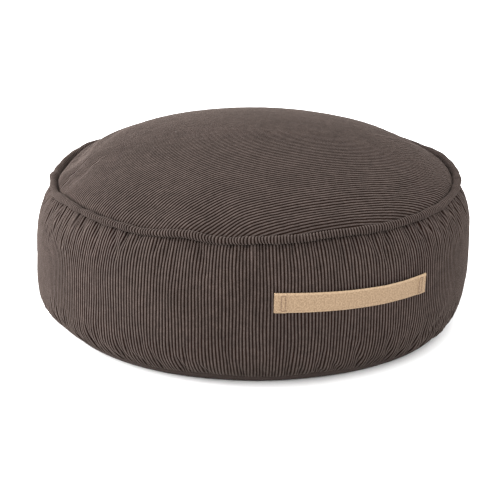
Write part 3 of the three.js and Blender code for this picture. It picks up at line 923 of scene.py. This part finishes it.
def handle_stitches(material):
    """The narrow box of stitching at each end: each stitch a small spindle of thread, arched a little."""
    low, high = STITCH_EDGE, WEBBING_WIDTH - STITCH_EDGE
    runs = []
    for middle in (STITCH_BOX_AT, HANDLE_LENGTH - STITCH_BOX_AT):
        first, last = middle - STITCH_BOX / 2, middle + STITCH_BOX / 2
        box = [(first, low), (last, low), (last, high), (first, high), (first, low)]
        runs.append(stitch_run(box, STITCH_LENGTH))
    place, way = [np.concatenate(part)[:, None, None] for part in zip(*runs)]
    t = np.linspace(-1, 1, STITCH_RINGS)[:, None]
    angle = np.arange(STITCH_SIDES) * 2 * np.pi / STITCH_SIDES
    thick = STITCH_THICKNESS * np.sqrt(np.maximum(1 - t ** 4, STITCH_TIP))
    along = t * STITCH_LENGTH * STITCH_HALF
    sideways = thick * np.cos(angle)
    out = thick * np.sin(angle) + STITCH_ARCH * (1 - t ** 2)
    flat = place + way * along[..., None] + np.stack([-way[..., 1], way[..., 0]], -1) * sideways[..., None]
    lift = WEBBING_THICKNESS * (1 + HEM_THICKNESS) + STITCH_LIFT + out
    points = handle_points(flat[..., 0], flat[..., 1] / WEBBING_WIDTH, lift)
    number, rings, sides = points.shape[:3]
    per = rings * sides
    offset = np.arange(number)[:, None, None] * per
    body = (quads(rings, sides, True) + offset).reshape(-1, 4)
    ends = np.stack([np.arange(sides)[::-1], np.arange(sides) + per - sides]) + offset
    corners = np.concatenate([body.ravel(), ends.ravel()])
    sizes = np.repeat([4, sides], [len(body), 2 * number])
    return build_piece("handle_stitches", points.reshape(-1, 3), corners, sizes, material)


# Materials

# Colours of what is seen of each cloth: its threads or wales, and the shade between them
WALE_COLOUR = (0.0510, 0.0397, 0.0358)
# the grooves: partly a darker ground, partly painted shade where the grooves lie in shadow
GROOVE_COLOUR = (0.0078, 0.0031, 0.0017)
BASE_CLOTH_COLOUR = (0.0421, 0.0302, 0.0258)
BASE_CLOTH_SHADE = (0.0264, 0.0187, 0.0163)
WEBBING_COLOUR = (0.316, 0.2264, 0.1456)
WEBBING_SHADE = (0.144, 0.0952, 0.0576)
THREAD_COLOUR = (0.160, 0.102, 0.070)
THREAD_SHADE = (0.120, 0.074, 0.050)
SHEEN_COLOUR = (1.0, 0.80, 0.68)

GROOVE_EDGE = (0.20, 0.74)  # shares from the crest of a wale where its groove starts and is darkest
FOLD_SHEEN_OPENS = 0.7  # how much of a groove's painted shade a fold's painted sheen takes away
FOLD_SHEEN_PALES = 0.3  # and how much paler the painted sheen makes the pile
TUFT_LENGTH = 0.6  # tufts are a little drawn out along the wale, by this share

# Noises: features for each metre, detail and roughness
TUFTS = (900.0, 2.0, 0.5)
BLOTCHES = (130.0, 3.0, 0.6)
CLOUDS = (22.0, 2.0, 0.5)
FIBRES = (2600.0, 2.0, 0.5)
FLECKS = (470.0, 2.0, 0.6)

# How far either side of 0.5 a noise reaches its full shade, and how much lighter or darker that is
TUFT_SHADE = (0.25, 0.20)
BLOTCH_SHADE = (0.25, 0.20)
CLOUD_SHADE = (0.2, 0.07)
FLECK_EDGES = (0.34, 0.66)
TUFT_RELIEF = 0.6  # the tufts' share of the pile's relief; the fibres have the rest
PILE_DEPTH = 0.25 * MM
YARN = (0.06, 0.25, 0.50)  # how light yarn is at the least, and what a thread's top and a fleck add
WEAVE_RELIEF = 0.2  # of a thread's width
EDGE_PALING = 0.30  # how much paler the webbing's edges are
EDGE_PALING_SPAN = (0.86, 0.94)  # shares from its middle to its edge where that starts and is full


def feed(tree, socket, value):
    """Link an input to another node's output, or set it to a fixed value."""
    if isinstance(value, bpy.types.NodeSocket):
        tree.links.new(value, socket)
    else:
        socket.default_value = value


def add_node(tree, kind, inputs, **settings):
    """A shader node of a kind with its settings made and its inputs fed."""
    node = tree.nodes.new("ShaderNode" + kind)
    for name, value in settings.items():
        setattr(node, name, value)
    for name, value in inputs.items():
        feed(tree, node.inputs[name], value)
    return node


def new_group(name, inputs, outputs):
    """A shader group whose inputs and outputs are named in a line each: numbers, but for Place, a vector.

    Returns the group, the sockets that bring its inputs, and those that its outputs are fed to.
    """
    group = bpy.data.node_groups.new(name, "ShaderNodeTree")
    for way, sockets in (("INPUT", inputs), ("OUTPUT", outputs)):
        for socket in sockets.split():
            kind = "NodeSocketVector" if socket == "Place" else "NodeSocketFloat"
            group.interface.new_socket(socket, in_out=way, socket_type=kind)
    return group, group.nodes.new("NodeGroupInput").outputs, group.nodes.new("NodeGroupOutput").inputs


def maths(tree, operation, *numbers):
    """The output of a math node fed with sockets or numbers."""
    return add_node(tree, "Math", dict(enumerate(numbers)), operation=operation).outputs[0]


def noise(tree, vector, scale, detail, roughness):
    """A noise node's value, about 0 to 1."""
    return add_node(tree, "TexNoise", {"Vector": vector, "Scale": scale, "Detail": detail,
                                       "Roughness": roughness}).outputs["Fac"]


def ramp(tree, value, low, high, to_low=0.0, to_high=1.0):
    """A value smoothly remapped from one range to another."""
    numbers = {"Value": value, "From Min": low, "From Max": high, "To Min": to_low, "To Max": to_high}
    return add_node(tree, "MapRange", numbers, interpolation_type="SMOOTHSTEP").outputs["Result"]


def uneven(tree, value, spread, amount):
    """A noise made into a shade from 1 - amount to 1 + amount, which it reaches spread away from 0.5."""
    return ramp(tree, value, 0.5 - spread, 0.5 + spread, 1 - amount, 1 + amount)


def mixed(tree, share, a, b, blend="MIX"):
    """A colour that goes from a to b with a share, or a times b where blend is MULTIPLY and share is 1."""
    return add_node(tree, "Mix", {"Factor": share, "A": a, "B": b}, data_type="RGBA",
                    blend_type=blend).outputs["Result"]


def pile_group():
    """Shade of cut pile: grooves between wales, darker ground with painted shade, lines of tufts along them
    and cloudy wear.

    Count is the number of wales counted across, Along the distance along them in metres, and the last
    input how much painted sheen lies on a fold, pile drawn as if catching the light, which makes the
    grooves fainter and the shade paler.
    """
    group, given, made = new_group("corduroy pile", "Count Along Place Bloom", "Groove Shade Height")
    share = maths(group, "FRACT", given["Count"])
    away = maths(group, "ABSOLUTE", maths(group, "MULTIPLY_ADD", share, 2.0, -1.0))
    left = maths(group, "MULTIPLY_ADD", given["Bloom"], -FOLD_SHEEN_OPENS, 1.0)
    groove = maths(group, "MULTIPLY", ramp(group, away, *GROOVE_EDGE), left)
    flat = add_node(group, "CombineXYZ", {0: maths(group, "MULTIPLY", given["Count"], WALE_PITCH),
                                          1: maths(group, "MULTIPLY", given["Along"], TUFT_LENGTH)})
    tufts = noise(group, flat.outputs[0], *TUFTS)
    shade = maths(group, "MULTIPLY_ADD", given["Bloom"], FOLD_SHEEN_PALES, 1.0)
    for part in (uneven(group, tufts, *TUFT_SHADE),
                 uneven(group, noise(group, given["Place"], *BLOTCHES), *BLOTCH_SHADE),
                 uneven(group, noise(group, given["Place"], *CLOUDS), *CLOUD_SHADE)):
        shade = maths(group, "MULTIPLY", shade, part)
    fibres = maths(group, "MULTIPLY", noise(group, given["Place"], *FIBRES), 1 - TUFT_RELIEF)
    height = maths(group, "MULTIPLY_ADD", tufts, TUFT_RELIEF, fibres)
    for name, value in (("Groove", groove), ("Shade", shade), ("Height", height)):
        feed(group, made[name], value)
    return group


def weave_group():
    """Plain weave: threads of a pitch going over and under each other.

    Across and Along are distances in metres; Over is 1 on top of a thread and 0 between threads.
    """
    group, given, made = new_group("plain weave", "Across Along Thread", "Over Fleck")
    waves = []
    for way in ("Across", "Along"):
        threads = maths(group, "DIVIDE", given[way], given["Thread"])
        waves.append(maths(group, "SINE", maths(group, "MULTIPLY", threads, np.pi)))
    flat = add_node(group, "CombineXYZ", {0: given["Across"], 1: given["Along"]})
    flecks = noise(group, flat.outputs[0], *FLECKS)
    feed(group, made["Over"], maths(group, "ABSOLUTE", maths(group, "MULTIPLY", *waves)))
    feed(group, made["Fleck"], ramp(group, flecks, *FLECK_EDGES))
    return group


def new_material(name):
    """A material still to be filled: its tree, and a function that finishes it and returns it."""
    material = bpy.data.materials.new(name)
    material.use_nodes = True
    tree = material.node_tree

    def finish(colour, height, depth, values):
        """Feed the surface a colour, a relief and how deep it is, and the values of other inputs."""
        bump = add_node(tree, "Bump", {"Height": height, "Distance": depth}).outputs[0]
        for socket, value in {"Base Color": colour, "Normal": bump, **values}.items():
            feed(tree, tree.nodes["Principled BSDF"].inputs[socket], value)
        return material

    return tree, finish


def cloth_place(tree):
    """The two cloth coordinates of a piece, as separate sockets."""
    uv = add_node(tree, "UVMap", {}, uv_map="cloth")
    return add_node(tree, "SeparateXYZ", {0: uv.outputs[0]}).outputs[:2]


def corduroy_material(pile):
    """Corduroy: warm grey wales, grooves with a darker ground and painted shade, and painted sheen on
    folds.
    """
    tree, finish = new_material("corduroy")
    count, along = cloth_place(tree)
    # painted sheen along the folds: pile drawn paler, as if catching the light
    bloom = add_node(tree, "Attribute", {}, attribute_name="bloom").outputs["Fac"]
    place = add_node(tree, "TexCoord", {}).outputs["Object"]
    made = add_node(tree, "Group", {"Count": count, "Along": along, "Place": place, "Bloom": bloom},
                    node_tree=pile).outputs
    # the grooves' painted shade over their darker ground, mixed in between the wales' crests
    crest = maths(tree, "SUBTRACT", 1.0, made["Groove"])
    colour = mixed(tree, crest, (*GROOVE_COLOUR, 1), (*WALE_COLOUR, 1))
    shade = add_node(tree, "CombineColor", dict.fromkeys(range(3), made["Shade"]))
    return finish(mixed(tree, 1.0, colour, shade.outputs[0], "MULTIPLY"), made["Height"], PILE_DEPTH,
                  {"Roughness": 0.95, "Specular IOR Level": 0.05, "Sheen Weight": 0.056,
                   "Sheen Roughness": 0.45, "Sheen Tint": (*SHEEN_COLOUR, 1)})


def woven_material(name, weave, dark, light, thread, roughness, width=0.0):
    """Plain woven cloth of a thread size, with flecks of lighter and darker yarn. A strip of a width is
    drawn paler along both its edges."""
    tree, finish = new_material(name)
    across, along = cloth_place(tree)
    made = add_node(tree, "Group", {"Across": across, "Along": along, "Thread": thread},
                    node_tree=weave).outputs
    least, on_top, in_fleck = YARN
    yarn = maths(tree, "MULTIPLY_ADD", made["Over"], on_top, least)
    yarn = maths(tree, "MULTIPLY_ADD", made["Fleck"], in_fleck, yarn)
    # the strip drawn paler along both its long edges
    if width:
        from_middle = maths(tree, "ABSOLUTE", maths(tree, "MULTIPLY_ADD", across, 2 / width, -1.0))
        yarn = maths(tree, "ADD", yarn, ramp(tree, from_middle, *EDGE_PALING_SPAN, 0.0, EDGE_PALING))
    return finish(mixed(tree, yarn, (*dark, 1), (*light, 1)), made["Over"], thread * WEAVE_RELIEF,
                  {"Roughness": roughness, "Specular IOR Level": 0.15})


pile = pile_group()
weave = weave_group()
corduroy = corduroy_material(pile)
base_cloth = woven_material("base cloth", weave, BASE_CLOTH_SHADE, BASE_CLOTH_COLOUR,
                            thread=0.8 * MM, roughness=0.9)
webbing = woven_material("webbing", weave, WEBBING_SHADE, WEBBING_COLOUR,
                         thread=1.0 * MM, roughness=0.85, width=WEBBING_WIDTH)
thread = woven_material("thread", weave, THREAD_SHADE, THREAD_COLOUR, thread=0.4 * MM, roughness=0.7)

band_moves, crown_moves = (creases_only(moves) for moves in simulated_cover())
crown_moves = crown_moves * CROWN_CREASE

band = side_band(corduroy, band_moves)
crown = top_panel(corduroy, crown_moves)
roll = welt(corduroy)
base = base_panel(base_cloth)
strap = handle(webbing)
stitches = handle_stitches(thread)

for piece, node, slot in ((band, "side_band", "corduroy"), (crown, "top_panel", "corduroy"),
                          (roll, "top_welt", "corduroy"), (base, "base_panel", "base_cloth"),
                          (strap, "handle", "webbing")):
    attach(piece, "root")
    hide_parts(node)
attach(stitches, "root")


# Studio

FLOOR_SHADE = 0.84
FLOOR_REACH = 9
SKY_STRENGTH = 2.80
KEY_PLACE = (-3.3, 0.5, 1.25)
KEY_AIM = (0, 0, 0.12)
KEY_SIZE = 2.0
KEY_POWER = 316
CAMERA_RISE = np.radians(18.39)
CAMERA_DISTANCE = 3.4
CAMERA_LENS = 175.58
CAMERA_SENSOR = 36
CAMERA_SHIFT = (-3 / 500, -11.2 / 500)  # pixels that the object stands off the middle, of 500
LOOK_AT = Vector((0, 0, 0.11))


def floor():
    """A plain pale floor."""
    mesh = bpy.data.meshes.new("floor")
    corners = [(x * FLOOR_REACH, y * FLOOR_REACH, 0) for x, y in ((-1, -1), (1, -1), (1, 1), (-1, 1))]
    mesh.from_pydata(corners, [], [range(4)])
    material = bpy.data.materials.new("floor")
    material.use_nodes = True
    inputs = material.node_tree.nodes["Principled BSDF"].inputs
    inputs["Base Color"].default_value = (FLOOR_SHADE, FLOOR_SHADE, FLOOR_SHADE, 1)
    inputs["Roughness"].default_value = 1.0
    mesh.materials.append(material)
    plane = add_object("floor", mesh)


def soft_box():
    """A square soft light at the left."""
    light = bpy.data.lights.new("key", "AREA")
    light.shape = "SQUARE"
    light.size = KEY_SIZE
    light.energy = KEY_POWER
    lamp = add_object("key", light)
    lamp.location = KEY_PLACE
    lamp.rotation_euler = (Vector(KEY_AIM) - Vector(KEY_PLACE)).to_track_quat("-Z", "Y").to_euler()


def sky():
    """An even white surround."""
    world = bpy.data.worlds.new("surround")
    world.use_nodes = True
    inputs = world.node_tree.nodes["Background"].inputs
    inputs["Color"].default_value = (1, 1, 1, 1)
    inputs["Strength"].default_value = SKY_STRENGTH
    bpy.context.scene.world = world


def studio_camera():
    """The camera: it looks at LOOK_AT from the front, CAMERA_RISE above the horizon."""
    lens = bpy.data.cameras.new("camera")
    lens.lens = CAMERA_LENS
    lens.sensor_width = CAMERA_SENSOR
    lens.shift_x, lens.shift_y = CAMERA_SHIFT
    camera = add_object("camera", lens)
    camera.location = LOOK_AT + CAMERA_DISTANCE * Vector((0, -np.cos(CAMERA_RISE), np.sin(CAMERA_RISE)))
    camera.rotation_euler = (LOOK_AT - camera.location).to_track_quat("-Z", "Y").to_euler()
    bpy.context.scene.camera = camera


floor()
sky()
soft_box()
studio_camera()
bpy.context.scene.view_settings.view_transform = "Standard"

bpy.context.view_layer.update()
